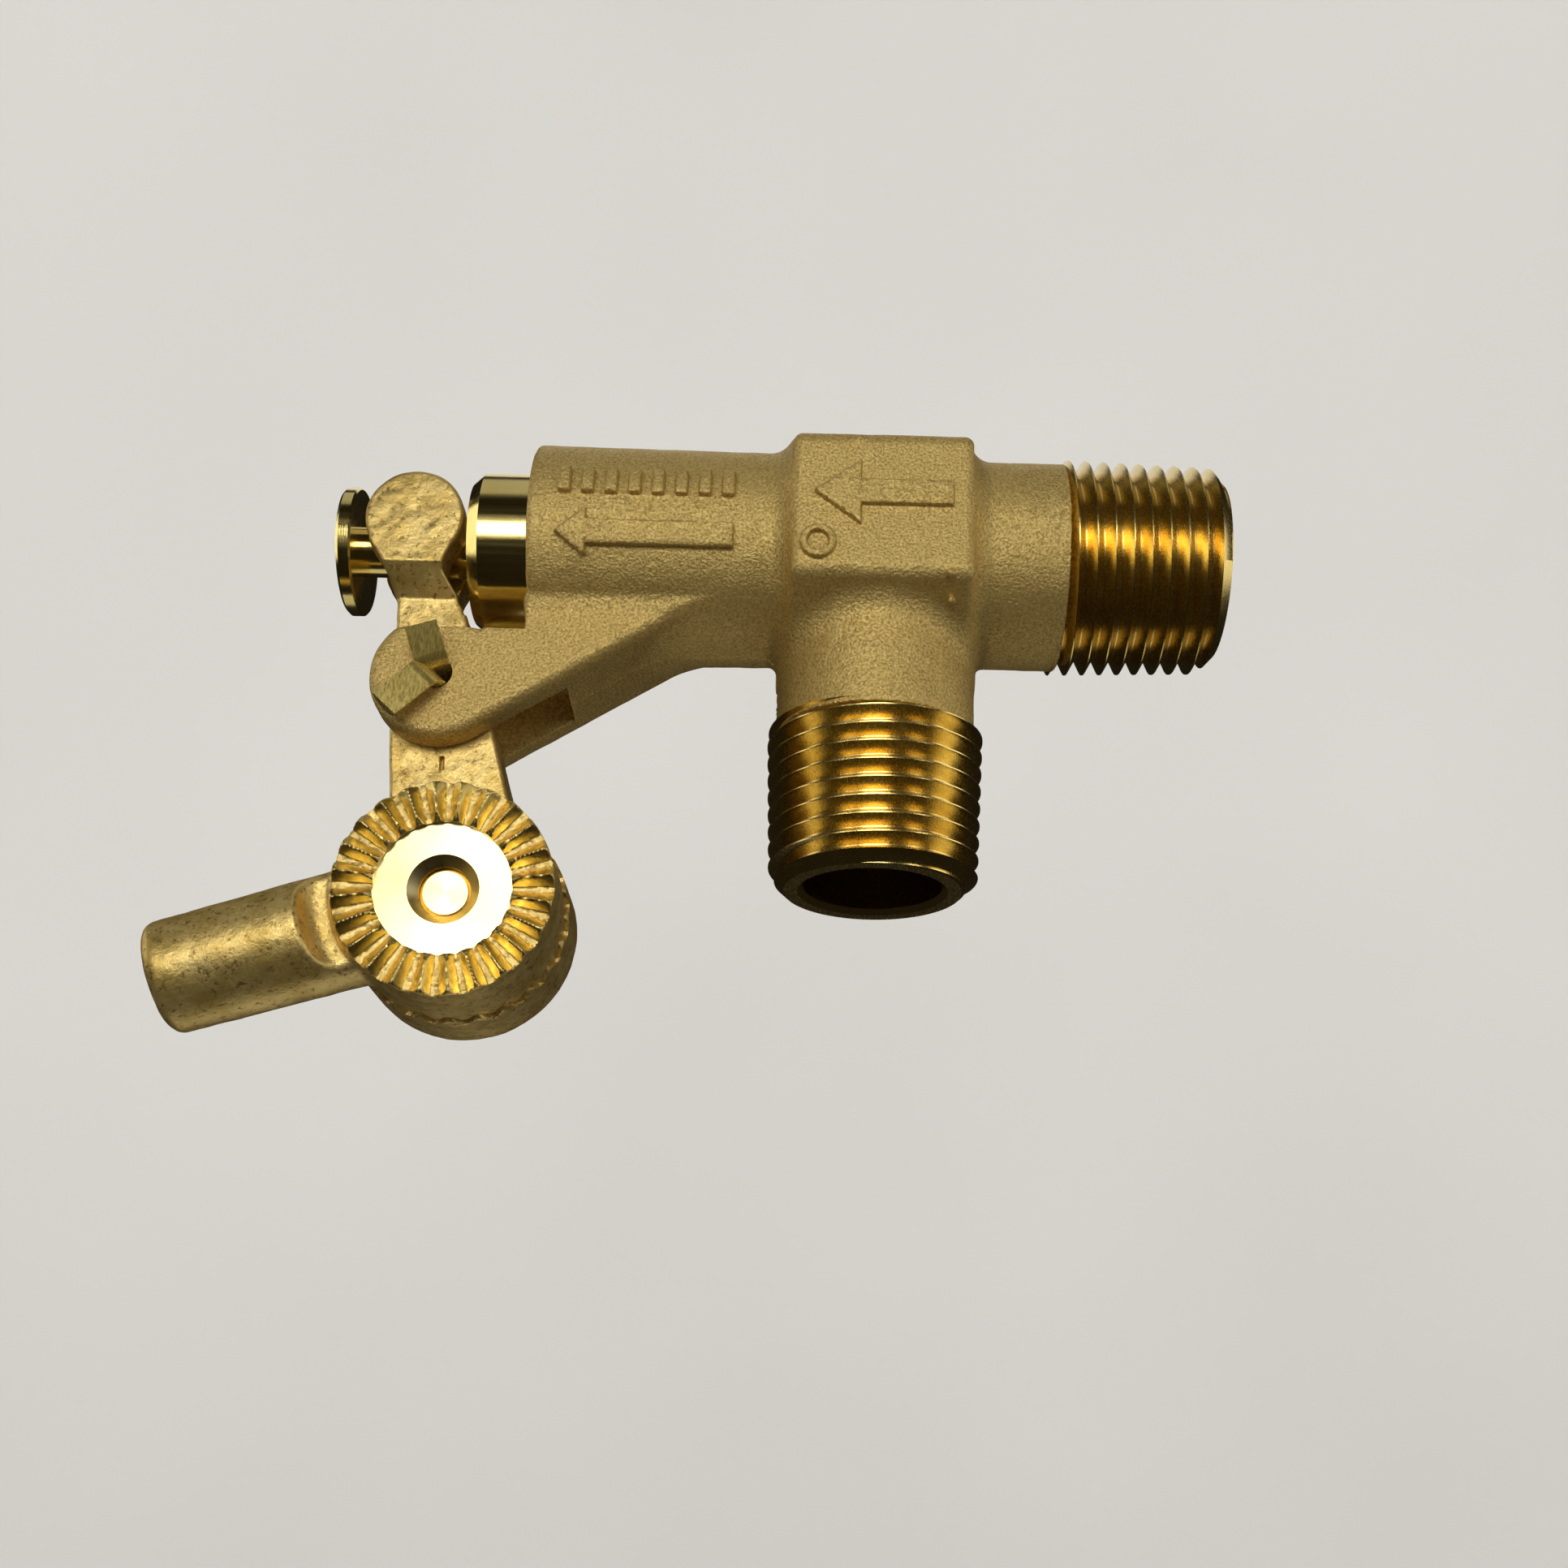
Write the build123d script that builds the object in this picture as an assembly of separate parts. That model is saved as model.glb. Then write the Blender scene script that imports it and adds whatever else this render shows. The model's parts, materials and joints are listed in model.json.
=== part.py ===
from build123d import *
import os
from math import acos, atan2, cos, pi, radians, sin, sqrt

# Float valve in cast brass for a water tank or trough, in the position in which it is used.
# The origin is the centre of the inlet's end face, on the thread's axis. +X points out of the
# inlet, +Z is up, the outlet points down, and the float rod's stem points down to the left (-X).
# The clevis, the lever and the plunger's axis share the plane y = 0. All sizes are in mm.

# 1/2-14 NPT male threads, the same on the inlet and the outlet
THREAD_PITCH = 25.4 / 14
THREAD_DEPTH = 0.8 * THREAD_PITCH
THREAD_TAPER = 1 / 32               # radius gained for each mm back from the end
THREAD_END_RADIUS = 10.36
THREAD_NOSE = 1.4                   # length of the chamfer at the thread's end
THREAD_NOSE_RADIUS = 8.85
GROOVE_ROOT = 0.12                  # width of the flat at the bottom of the thread's groove
CREST_FLAT = 0.1                    # width of the flat on the thread's crest
GROOVE_OVERCUT = 0.25               # how far the groove's cutter stands out of the thread
GROOVE_START = 0.8                  # pitches from the shoulder to the groove's first turn
THREAD_LENGTH = 16.2

# casting
INLET_REACH = 34.85                 # outlet's axis to the inlet's end face
INLET_THREAD_PHASE = -117          # degrees
INLET_NECK_RADIUS = 10.45
INLET_BORE_RADIUS = 6.6
OUTLET_REACH = 35.8                 # inlet's axis to the outlet's end face
OUTLET_THREAD_PHASE = 53           # degrees
OUTLET_TUBE_RADIUS = 9.95
OUTLET_BORE_RADIUS = 6.9
MOUTH_CHAMFER = 0.55
HEX_FLATS = 25.4                    # wrench hexagon, with flats at the front and the back
HEX_LENGTH = 17.8
HEX_EDGE = 0.7
COLLAR_BLEND = 2.4                  # hollow blend from the hexagon down to each neck
BARREL_REACH = 35.05                # outlet's axis to the barrel's open end
BARREL_RADIUS = 11.1                # at the open end; the barrel has a little draft
BARREL_ROOT_RADIUS = 10.7
BARREL_EDGE = 0.7
CHAMBER_RADIUS = 8.3
CHAMBER_END = 9.0                   # right end of the plunger's bore
SEAT_FACE = 7.32                    # rim of the seat nozzle
SEAT_RIM_RADIUS = 5.4
ORIFICE_RADIUS = 4.75
ORIFICE_END = 11.5
BORE_EDGE = 0.4                     # chamfer at the chamber's open end
SEAT_FLARE = 0.6
ORIFICE_FLARE = 1.5                 # length of the cone from the orifice to the inlet's bore

# clevis on the barrel's underside
PIVOT_BACK = 43.5                   # outlet's axis to the pivot
PIVOT_DROP = 16.5                   # inlet's axis down to the pivot
CLEVIS_HALF = 7.0
CLEVIS_TOP = -11.5
CLEVIS_RADIUS = 6.7
CLEVIS_ROOT = (-21.0, -10.3)        # where the underside runs out on the barrel
CLEVIS_CORE = (-18.0, -8.0)         # corner of the bracket that is buried in the barrel
CLEVIS_EDGE = 1.0
SLOT_HALF = 3.95
SLOT_END = -31.0
SLOT_TOP = -11.15
PIN_HOLE_RADIUS = 1.67

# plunger, drawn where it stands with the valve open
PLUNGER_RADIUS = 8.25
PLUNGER_FACE = -41.5                # outer end of the plunger's body
PLUNGER_SHOULDER = -12.0            # inner end of the guided length
PLUNGER_NECK_RADIUS = 2.52
HEAD_RADIUS = 6.5
HEAD_INNER = -53.36
HEAD_OUTER = -54.9
RING_GROOVE = (-20.6, -18.1)
RING_GROOVE_RADIUS = 6.6
NOSE_RADIUS = 4.0
CUP_BACK = -0.6
CUP_LIP = 2.4
CUP_RADIUS = 6.2
DISC_BACK = 0.6
DISC_FACE = 2.6
DISC_RADIUS = 5.3
HEAD_EDGE = 0.3
HEAD_INNER_EDGE = 0.2
PLUNGER_EDGE = (1.2, 1.0)           # chamfer at the outer end, along and across the axis
SHOULDER_EDGE = 0.5
RUBBER_GAP = 0.02                   # between rubber and the metal that holds it
RING_HALF_WIDTH = 0.95

# forked lever
LEVER_HALF = 3.75
FORK_HALF = 6.2
FORK_GAP = 2.8                      # half the gap between the tines
FORK_GAP_BOTTOM = -5.6
FORK_HEAD = (-47.1, 1.1)
FORK_HEAD_RADIUS = 5.0
SLOPE_TOP = -4.0                    # where the tine's thicker head starts to narrow
SLOPE_FOOT = -7.0
FORK_NECK = [(-51.2, -1.7), (-49.4, -5.2), (-48.65, -7.4), (-48.6, -9.5), (-41.4, -9.5),
             (-42.7, -6.4), (-43.9, -4.6), (-43.6, -2.4), FORK_HEAD]
SHANK = [(-48.62, -8.5), (-48.3, -23), (-47.8, -28.5), (-46.5, -33), (-34, -33),
         (-35.9, -28.6), (-37.9, -21.5), (-39.8, -16.0), (-41.6, -8.5)]
LEVER_DISC_RADIUS = 10.8
LEVER_DISC_EDGE = 0.8
LEVER_EDGE = 0.5

# serrated joint between the lever and the stem arm
JOINT = (-40.18, -40.4)
TEETH = 24
TOOTH_HEIGHT = 1.15
TOOTH_FLAT = 0.22                   # half width of the flat on a tooth, at the rim
TOOTH_GAP = 0.04
TOOTH_INNER_RADIUS = 6.6
TOOTH_RECESS = 0.15                 # how much lower the face inside the teeth is than their roots
CUTTER_OVER = 0.2                   # how far the teeth's cutters stand out of the face
CUTTER_ENDS = (1.2, 1.0)            # how far they run past the teeth inwards and outwards
SPOT_RADIUS = 6.46
SCREW_RADIUS = 2.42
SCREW_HOLE_RADIUS = 2.5
SCREW_END = -10.6
WASHER_THICKNESS = 1.1
WASHER_RADIUS = 4.6
WASHER_PLAY = 0.25                  # between the washer and the screw
WASHER_SPLIT = (0.5, 35, 40)        # gap, its slant, and its place around the axis
SCREW_HEAD_FLATS = 8.0
SCREW_HEAD_HEIGHT = 3.3
SCREW_HEAD_CHAMFER = 0.7
SCREW_END_CHAMFER = 0.3

# stem arm
ARM_RADIUS = 10.4
ARM_FRONT = -12.9
ARM_SPOT = -11.9                    # machined spot face around the screw's end
TAPPED_RADIUS = 2.45                # hole for the joint screw's thread
SINK_RADIUS = 3.38                  # countersink around the screw's end
SINK_DEPTH = 0.9
STEM_ANGLE = 17.6                   # degrees below the horizontal
STEM_LENGTH = 28.0                  # joint's axis to the stem's end
STEM_Y = -8.0
STEM_ROOT_RADIUS = 5.75
STEM_END_RADIUS = 5.35
STEM_EDGE = 1.3
STEM_CLEARANCE = 0.15               # between the stem and the lever as the stem swings past it
RELIEF_RADIUS = 12.6                # the stem is cut back to a flat floor around the joint
RELIEF_FLOOR = -11.5
ROD_HOLE_RADIUS = 2.55              # minor radius of 1/4-20 UNC
ROD_HOLE_DEPTH = 15.0
ROD_HOLE_EDGE = 0.7

# cotter pin
PIN_RADIUS = 1.6
LEG_THICKNESS = 1.45
LEG_BEND = 1.9
LEG_GAP = 0.08                      # half the gap between the two legs
LEG_START = 0.15                    # from the bracket's face to the start of the bend
LEG_SPECS = ((108, 3.0, 66), (227, 4.6, 82))    # direction, straight length, degrees of bend
EYE_RADIUS = 3.3
EYE_WIRE = 1.45
EYE_EDGE = 0.5
EYE_TILT = 20                       # degrees
EYE_START = 0.25                    # from the bracket's back face to the eye
LEG_BACK = 0.5                      # how far the legs run back into the eye


def at(x):
    """An x measured from the outlet's axis, in the part's own frame."""
    return x - INLET_REACH


def x_rod(radius, x_start, x_end, y=0.0, z=0.0):
    rod = Cylinder(radius, x_end - x_start, align=(Align.CENTER, Align.CENTER, Align.MIN))
    return Pos(at(x_start), y, z) * Rot(0, 90, 0) * rod


def y_rod(radius, y_start, y_end, x, z):
    rod = Cylinder(radius, y_end - y_start, align=(Align.CENTER, Align.CENTER, Align.MIN))
    return Pos(at(x), y_start, z) * Rot(-90, 0, 0) * rod


def z_rod(radius, z_start, z_end):
    rod = Cylinder(radius, z_end - z_start, align=(Align.CENTER, Align.CENTER, Align.MIN))
    return Pos(at(0), 0, z_start) * rod


def block(x_span, y_span, z_span):
    size = [span[1] - span[0] for span in (x_span, y_span, z_span)]
    low = (Align.MIN, Align.MIN, Align.MIN)
    return Pos(at(x_span[0]), y_span[0], z_span[0]) * Box(*size, align=low)


def turned(points):
    """A solid turned about the inlet's axis from (x, radius) points."""
    outline = Polyline(*[(at(x), 0, radius) for x, radius in points], close=True)
    return revolve(make_face(outline), Axis.X, 360)


def plate(outline, half):
    """A flat plate, even about y = 0, from an outline drawn as (x, z)."""
    return extrude(Plane.XZ * outline, half, both=True)


def polygon(points):
    return Polygon(*[(at(x), z) for x, z in points], align=None)


def disc(radius, centre):
    return Pos(at(centre[0]), centre[1]) * Circle(radius)


# ---------------------------------------------------------------- valve body

def pipe_thread(phase):
    """A tapered male thread up +Z from its shoulder at z = 0, with a real helical groove."""
    root_radius = THREAD_END_RADIUS + THREAD_LENGTH * THREAD_TAPER
    rough = THREAD_LENGTH + 3 * THREAD_PITCH
    blank = Cone(root_radius, root_radius - rough * THREAD_TAPER, rough,
                 align=(Align.CENTER, Align.CENTER, Align.MIN))
    start = GROOVE_START * THREAD_PITCH
    path = Helix(THREAD_PITCH, rough + THREAD_PITCH, root_radius - start * THREAD_TAPER,
                 center=(0, 0, start), cone_angle=-atan2(THREAD_TAPER, 1) * 180 / pi)
    section = Plane(path @ 0, x_dir=(1, 0, 0), z_dir=path % 0)
    crest = (THREAD_PITCH - CREST_FLAT) / 2
    half = crest + (crest - GROOVE_ROOT / 2) / THREAD_DEPTH * GROOVE_OVERCUT
    groove = Polygon((-THREAD_DEPTH, -GROOVE_ROOT / 2), (-THREAD_DEPTH, GROOVE_ROOT / 2),
                     (GROOVE_OVERCUT, half), (GROOVE_OVERCUT, -half), align=None)
    threaded = blank - sweep(section * groove, path=path, is_frenet=True)
    wide = root_radius + 1
    nose = THREAD_END_RADIUS - THREAD_NOSE_RADIUS
    steep = THREAD_NOSE * (wide - THREAD_NOSE_RADIUS) / nose
    keep = Polyline((0, 0, -1), (wide, 0, -1), (wide, 0, THREAD_LENGTH - steep),
                    (THREAD_NOSE_RADIUS, 0, THREAD_LENGTH), (0, 0, THREAD_LENGTH), close=True)
    return Rot(0, 0, phase) * (threaded & revolve(make_face(keep), Axis.Z, 360))


def hexagon(length):
    shape = RegularPolygon(HEX_FLATS / 2, 6, major_radius=False, rotation=90)
    return Pos(at(0), 0, 0) * extrude(Plane.YZ * shape, length / 2, both=True)


def collar(side, neck_radius):
    """The hollow blend from the hexagon's end down to the neck on one side."""
    face = side * HEX_LENGTH / 2
    end = face + side * COLLAR_BLEND
    top = neck_radius + COLLAR_BLEND
    mid = COLLAR_BLEND * (1 - sqrt(0.5))
    arc = ThreePointArc((at(face), 0, top), (at(face + side * mid), 0, neck_radius + mid),
                        (at(end), 0, neck_radius))
    back = Polyline((at(end), 0, neck_radius), (at(end), 0, neck_radius - 1),
                    (at(face - side), 0, neck_radius - 1), (at(face - side), 0, top),
                    (at(face), 0, top))
    ring = revolve(make_face([arc, back]), Axis.X, 360)
    return ring & hexagon(HEX_LENGTH + 4 * COLLAR_BLEND)


def clevis():
    """The bracket under the barrel's open end, before its slot is cut."""
    pivot = (-PIVOT_BACK, -PIVOT_DROP)
    away = (CLEVIS_ROOT[0] - pivot[0], CLEVIS_ROOT[1] - pivot[1])
    distance = sqrt(away[0] ** 2 + away[1] ** 2)
    turn = atan2(away[1], away[0]) - acos(CLEVIS_RADIUS / distance)
    touch = (pivot[0] + CLEVIS_RADIUS * cos(turn), pivot[1] + CLEVIS_RADIUS * sin(turn))
    web = polygon([touch, CLEVIS_ROOT, CLEVIS_CORE, (-BARREL_REACH, CLEVIS_CORE[1]),
                   (-BARREL_REACH, CLEVIS_TOP), (pivot[0], CLEVIS_TOP), pivot])
    above = polygon([(-60, CLEVIS_TOP), (-BARREL_REACH, CLEVIS_TOP), (-BARREL_REACH, 0), (-60, 0)])
    outline = web + disc(CLEVIS_RADIUS, pivot) - above
    bracket = plate(outline, CLEVIS_HALF)
    low = bracket.edges().filter_by_position(Axis.Y, CLEVIS_HALF, CLEVIS_HALF)
    low += bracket.edges().filter_by_position(Axis.Y, -CLEVIS_HALF, -CLEVIS_HALF)
    lower = [edge for edge in low if edge.center().Z < CLEVIS_TOP - 0.5]
    return fillet(lower, CLEVIS_EDGE)


def body_outside():
    barrel = turned([(-BARREL_REACH, 0), (-BARREL_REACH, BARREL_RADIUS - BARREL_EDGE),
                     (-BARREL_REACH + BARREL_EDGE, BARREL_RADIUS), (0, BARREL_ROOT_RADIUS), (0, 0)])
    shell = barrel + clevis()
    neck_end = INLET_REACH - THREAD_LENGTH
    shell += x_rod(INLET_NECK_RADIUS, 0, neck_end)
    hex_block = hexagon(HEX_LENGTH)
    shell += fillet(hex_block.edges(), HEX_EDGE)
    shell += collar(-1, BARREL_ROOT_RADIUS + 0.1) + collar(1, INLET_NECK_RADIUS)
    shell += z_rod(OUTLET_TUBE_RADIUS, -OUTLET_REACH + THREAD_LENGTH, -4)
    shell += Pos(at(neck_end), 0, 0) * Rot(0, 90, 0) * pipe_thread(INLET_THREAD_PHASE)
    outlet_shoulder = Pos(at(0), 0, -OUTLET_REACH + THREAD_LENGTH)
    return shell + outlet_shoulder * Rot(180, 0, 0) * pipe_thread(OUTLET_THREAD_PHASE)


def body_inside():
    """Everything bored out of the casting: chamber, orifice, inlet and outlet."""
    chamber = turned([(-BARREL_REACH, 0), (-BARREL_REACH, CHAMBER_RADIUS + BORE_EDGE),
                      (-BARREL_REACH + BORE_EDGE, CHAMBER_RADIUS), (CHAMBER_END, CHAMBER_RADIUS),
                      (CHAMBER_END, SEAT_RIM_RADIUS + SEAT_FLARE), (SEAT_FACE, SEAT_RIM_RADIUS),
                      (SEAT_FACE, ORIFICE_RADIUS), (ORIFICE_END, ORIFICE_RADIUS),
                      (ORIFICE_END + ORIFICE_FLARE, INLET_BORE_RADIUS),
                      (INLET_REACH - MOUTH_CHAMFER, INLET_BORE_RADIUS),
                      (INLET_REACH, INLET_BORE_RADIUS + MOUTH_CHAMFER), (INLET_REACH, 0)])
    drain = z_rod(OUTLET_BORE_RADIUS, -OUTLET_REACH, 0)
    mouth = Cone(OUTLET_BORE_RADIUS + MOUTH_CHAMFER, OUTLET_BORE_RADIUS, MOUTH_CHAMFER,
                 align=(Align.CENTER, Align.CENTER, Align.MIN))
    return chamber + drain + Pos(at(0), 0, -OUTLET_REACH) * mouth


def valve_body():
    slot = block((-60, SLOT_END), (-SLOT_HALF, SLOT_HALF), (-30, SLOT_TOP))
    pin_hole = y_rod(PIN_HOLE_RADIUS, -10, 10, -PIVOT_BACK, -PIVOT_DROP)
    return body_outside() - body_inside() - slot - pin_hole


# ---------------------------------------------------------------- plunger

def plunger():
    low, high = RING_GROOVE
    edge_length, edge_depth = PLUNGER_EDGE
    return turned([
        (HEAD_OUTER, 0), (HEAD_OUTER, HEAD_RADIUS - HEAD_EDGE),
        (HEAD_OUTER + HEAD_EDGE, HEAD_RADIUS), (HEAD_INNER - HEAD_INNER_EDGE, HEAD_RADIUS),
        (HEAD_INNER, HEAD_RADIUS - HEAD_INNER_EDGE), (HEAD_INNER, PLUNGER_NECK_RADIUS),
        (PLUNGER_FACE, PLUNGER_NECK_RADIUS), (PLUNGER_FACE, PLUNGER_RADIUS - edge_depth),
        (PLUNGER_FACE + edge_length, PLUNGER_RADIUS), (low, PLUNGER_RADIUS),
        (low, RING_GROOVE_RADIUS), (high, RING_GROOVE_RADIUS), (high, PLUNGER_RADIUS),
        (PLUNGER_SHOULDER - SHOULDER_EDGE, PLUNGER_RADIUS),
        (PLUNGER_SHOULDER, PLUNGER_RADIUS - SHOULDER_EDGE), (PLUNGER_SHOULDER, NOSE_RADIUS),
        (CUP_BACK, NOSE_RADIUS), (CUP_BACK, CUP_RADIUS), (CUP_LIP, CUP_RADIUS),
        (CUP_LIP, DISC_RADIUS), (DISC_BACK, DISC_RADIUS), (DISC_BACK, 0)])


def seat_disc():
    return x_rod(DISC_RADIUS - RUBBER_GAP, DISC_BACK + RUBBER_GAP / 2, DISC_FACE)


def plunger_o_ring():
    """Held in its groove and pressed a little oval by the bore."""
    low, high = RING_GROOVE
    inner, outer = RING_GROOVE_RADIUS + RUBBER_GAP, CHAMBER_RADIUS - RUBBER_GAP
    centre = Plane(origin=(at((low + high) / 2), 0, (inner + outer) / 2), x_dir=(1, 0, 0),
                   z_dir=(0, -1, 0))
    section = centre * Ellipse(RING_HALF_WIDTH, (outer - inner) / 2)
    return revolve(section, Axis.X, 360)


# ---------------------------------------------------------------- serrations

def serrations(face_y, toward, rim, phase):
    """Radial cutters that leave a ring of ridges on a face whose tips lie at face_y."""
    inner, outer = TOOTH_INNER_RADIUS - CUTTER_ENDS[0], rim + CUTTER_ENDS[1]
    pitch_angle = 2 * pi / TEETH
    cutters = []
    for index in range(TEETH):
        sections = []
        for radius in (inner, outer):
            scale = radius / rim
            wide = pitch_angle * radius / 2 - TOOTH_FLAT * scale
            narrow = TOOTH_FLAT * scale + TOOTH_GAP
            wall = (wide - narrow) / TOOTH_HEIGHT
            top = wide + wall * CUTTER_OVER
            where = Plane(origin=(radius, face_y, 0), x_dir=(0, 0, -1), z_dir=(1, 0, 0))
            depth = TOOTH_HEIGHT * toward
            over = -CUTTER_OVER * toward
            sections.append(where * Polygon((-top, over), (top, over), (narrow, depth),
                                            (-narrow, depth), align=None))
        turn = Rot(0, 360 / TEETH * (index + phase), 0)
        cutters.append(turn * loft(sections))
    return cutters


def at_joint(shape):
    return Pos(at(JOINT[0]), 0, JOINT[1]) * shape


# ---------------------------------------------------------------- forked lever

def fork_head():
    """The two tines' round heads and the sloping faces below them, before the gap is cut."""
    head = plate(polygon(FORK_NECK) + disc(FORK_HEAD_RADIUS, FORK_HEAD), FORK_HALF)
    rims = head.edges().filter_by_position(Axis.Y, FORK_HALF, FORK_HALF)
    rims += head.edges().filter_by_position(Axis.Y, -FORK_HALF, -FORK_HALF)
    head = fillet([edge for edge in rims if edge.center().Z > SLOPE_FOOT - 1], LEVER_EDGE)
    for side in (-1, 1):
        outside = Polygon((side * LEVER_HALF, -20), (side * LEVER_HALF, SLOPE_FOOT),
                          (side * FORK_HALF, SLOPE_TOP), (side * (FORK_HALF + 2), SLOPE_TOP),
                          (side * (FORK_HALF + 2), -20), align=None)
        head -= Pos(at(-60), 0, 0) * extrude(Plane.YZ * outside, 40)
    return head


def fork_lever():
    shank = plate(polygon(SHANK), LEVER_HALF)
    hub = y_rod(LEVER_DISC_RADIUS, -LEVER_HALF - TOOTH_HEIGHT / 2, LEVER_HALF, *JOINT)
    hub_back = hub.edges().sort_by(Axis.Y)[-1]
    lever = fork_head() + shank + fillet(hub_back, LEVER_DISC_EDGE)
    gap = block((-60, -30), (-FORK_GAP, FORK_GAP), (FORK_GAP_BOTTOM + FORK_GAP, 10))
    lever = lever - gap - x_rod(FORK_GAP, -60, -30, 0, FORK_GAP_BOTTOM + FORK_GAP)
    tips = -LEVER_HALF - TOOTH_HEIGHT / 2
    lever -= [at_joint(tool) for tool in serrations(tips, 1, LEVER_DISC_RADIUS, 0.5)]
    lever -= y_rod(TOOTH_INNER_RADIUS, -20, tips + TOOTH_HEIGHT + TOOTH_RECESS, *JOINT)
    lever -= y_rod(SCREW_HOLE_RADIUS, -20, 20, *JOINT)
    return lever - y_rod(PIN_HOLE_RADIUS, -20, 20, -PIVOT_BACK, -PIVOT_DROP)


# ---------------------------------------------------------------- stem arm

def along_stem(shape):
    """Places a shape drawn up +Z so that it runs out along the stem."""
    return Pos(at(JOINT[0]), STEM_Y, JOINT[1]) * Rot(0, -90 - STEM_ANGLE, 0) * shape


def stem_arm():
    stem = Cone(STEM_ROOT_RADIUS, STEM_END_RADIUS, STEM_LENGTH,
                align=(Align.CENTER, Align.CENTER, Align.MIN))
    stem = fillet(stem.edges().sort_by(Axis.Z)[-1], STEM_EDGE)
    back = -LEVER_HALF + TOOTH_HEIGHT / 2 - TOOTH_GAP
    hub = y_rod(ARM_RADIUS, ARM_FRONT, back, *JOINT)
    relief = y_rod(RELIEF_RADIUS, -20, RELIEF_FLOOR, *JOINT)
    behind = block((-70, -10), (-LEVER_HALF - STEM_CLEARANCE, 10), (-80, -10))
    arm = along_stem(stem) - relief - behind + hub
    arm -= [at_joint(tool) for tool in serrations(ARM_FRONT, 1, ARM_RADIUS, 0)]
    arm -= [at_joint(tool) for tool in serrations(back, -1, ARM_RADIUS, 0)]
    arm -= y_rod(SPOT_RADIUS, -20, ARM_SPOT, *JOINT)
    arm -= y_rod(TOOTH_INNER_RADIUS, back - TOOTH_HEIGHT - TOOTH_RECESS, 0, *JOINT)
    arm -= y_rod(TAPPED_RADIUS, -20, 20, *JOINT)
    sink = Cone(SINK_RADIUS, TAPPED_RADIUS, SINK_DEPTH,
                align=(Align.CENTER, Align.CENTER, Align.MIN))
    arm -= Pos(at(JOINT[0]), ARM_SPOT, JOINT[1]) * Rot(-90, 0, 0) * sink
    hole = Cylinder(ROD_HOLE_RADIUS, ROD_HOLE_DEPTH, align=(Align.CENTER, Align.CENTER, Align.MAX))
    mouth = Cone(ROD_HOLE_RADIUS, ROD_HOLE_RADIUS + ROD_HOLE_EDGE, ROD_HOLE_EDGE,
                 align=(Align.CENTER, Align.CENTER, Align.MAX))
    return arm - along_stem(Pos(0, 0, STEM_LENGTH) * (hole + mouth))


# ---------------------------------------------------------------- fasteners

def joint_screw():
    seat = LEVER_HALF + WASHER_THICKNESS
    shank = y_rod(SCREW_RADIUS, SCREW_END, seat + 0.5, *JOINT)
    end = shank.edges().sort_by(Axis.Y)[0]
    hexagon_head = RegularPolygon(SCREW_HEAD_FLATS / 2, 6, major_radius=False)
    head = extrude(Plane.XZ * hexagon_head, -SCREW_HEAD_HEIGHT)
    trim = Cylinder(SCREW_HEAD_FLATS / 2 + 0.5, SCREW_HEAD_HEIGHT,
                    align=(Align.CENTER, Align.CENTER, Align.MIN))
    trim = chamfer(trim.edges().sort_by(Axis.Z)[-1], SCREW_HEAD_CHAMFER)
    head = head & Rot(-90, 0, 0) * trim
    return chamfer(end, SCREW_END_CHAMFER) + Pos(at(JOINT[0]), seat, JOINT[1]) * head


def joint_lock_washer():
    """A split spring washer, pressed flat."""
    ring = y_rod(WASHER_RADIUS, LEVER_HALF, LEVER_HALF + WASHER_THICKNESS, *JOINT)
    ring -= y_rod(SCREW_RADIUS + WASHER_PLAY, 0, 10, *JOINT)
    gap, slant, around = WASHER_SPLIT
    split = Pos(4, LEVER_HALF, 0) * Rot(slant, 0, 0) * Box(6, 6, gap)
    return ring - at_joint(Rot(0, around, 0) * split)


def cotter_leg(direction, straight, bend):
    """One half of the split pin, through the ears and bent over in front."""
    back = CLEVIS_HALF + LEG_BACK
    angle = radians(direction)
    outward = Vector(cos(angle), 0, sin(angle))
    turn = radians(bend)
    pin_end = Vector(0, -CLEVIS_HALF - LEG_START, 0)

    def on_bend(angle):
        return (pin_end + Vector(0, -1, 0) * (LEG_BEND * sin(angle))
                + outward * (LEG_BEND * (1 - cos(angle))))

    corner = on_bend(turn)
    heading = Vector(0, -cos(turn), 0) + outward * sin(turn)
    path = Line(Vector(0, back, 0), pin_end) + ThreePointArc(pin_end, on_bend(turn / 2), corner)
    path += Line(corner, corner + heading * straight)
    section = Plane(origin=(0, back, 0), x_dir=outward, z_dir=(0, -1, 0))
    flat = Pos(LEG_THICKNESS / 2 + LEG_GAP, 0) * Rectangle(LEG_THICKNESS, 3 * PIN_RADIUS)
    half_round = Circle(PIN_RADIUS) & flat
    return sweep(section * half_round, path=path)


def pivot_cotter():
    first, second = [cotter_leg(*spec) for spec in LEG_SPECS]
    pin = first + second
    eye_y = CLEVIS_HALF + EYE_RADIUS + EYE_START
    eye = Pos(0, eye_y, 0) * Rot(0, EYE_TILT, 0) * (
        Cylinder(EYE_RADIUS, 2 * EYE_WIRE) - Cylinder(EYE_RADIUS - EYE_WIRE, 4 * EYE_WIRE))
    eye = fillet(eye.edges().filter_by(GeomType.CIRCLE), EYE_EDGE)
    return Pos(at(-PIVOT_BACK), 0, -PIVOT_DROP) * (pin + eye)


# ---------------------------------------------------------------- output

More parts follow.
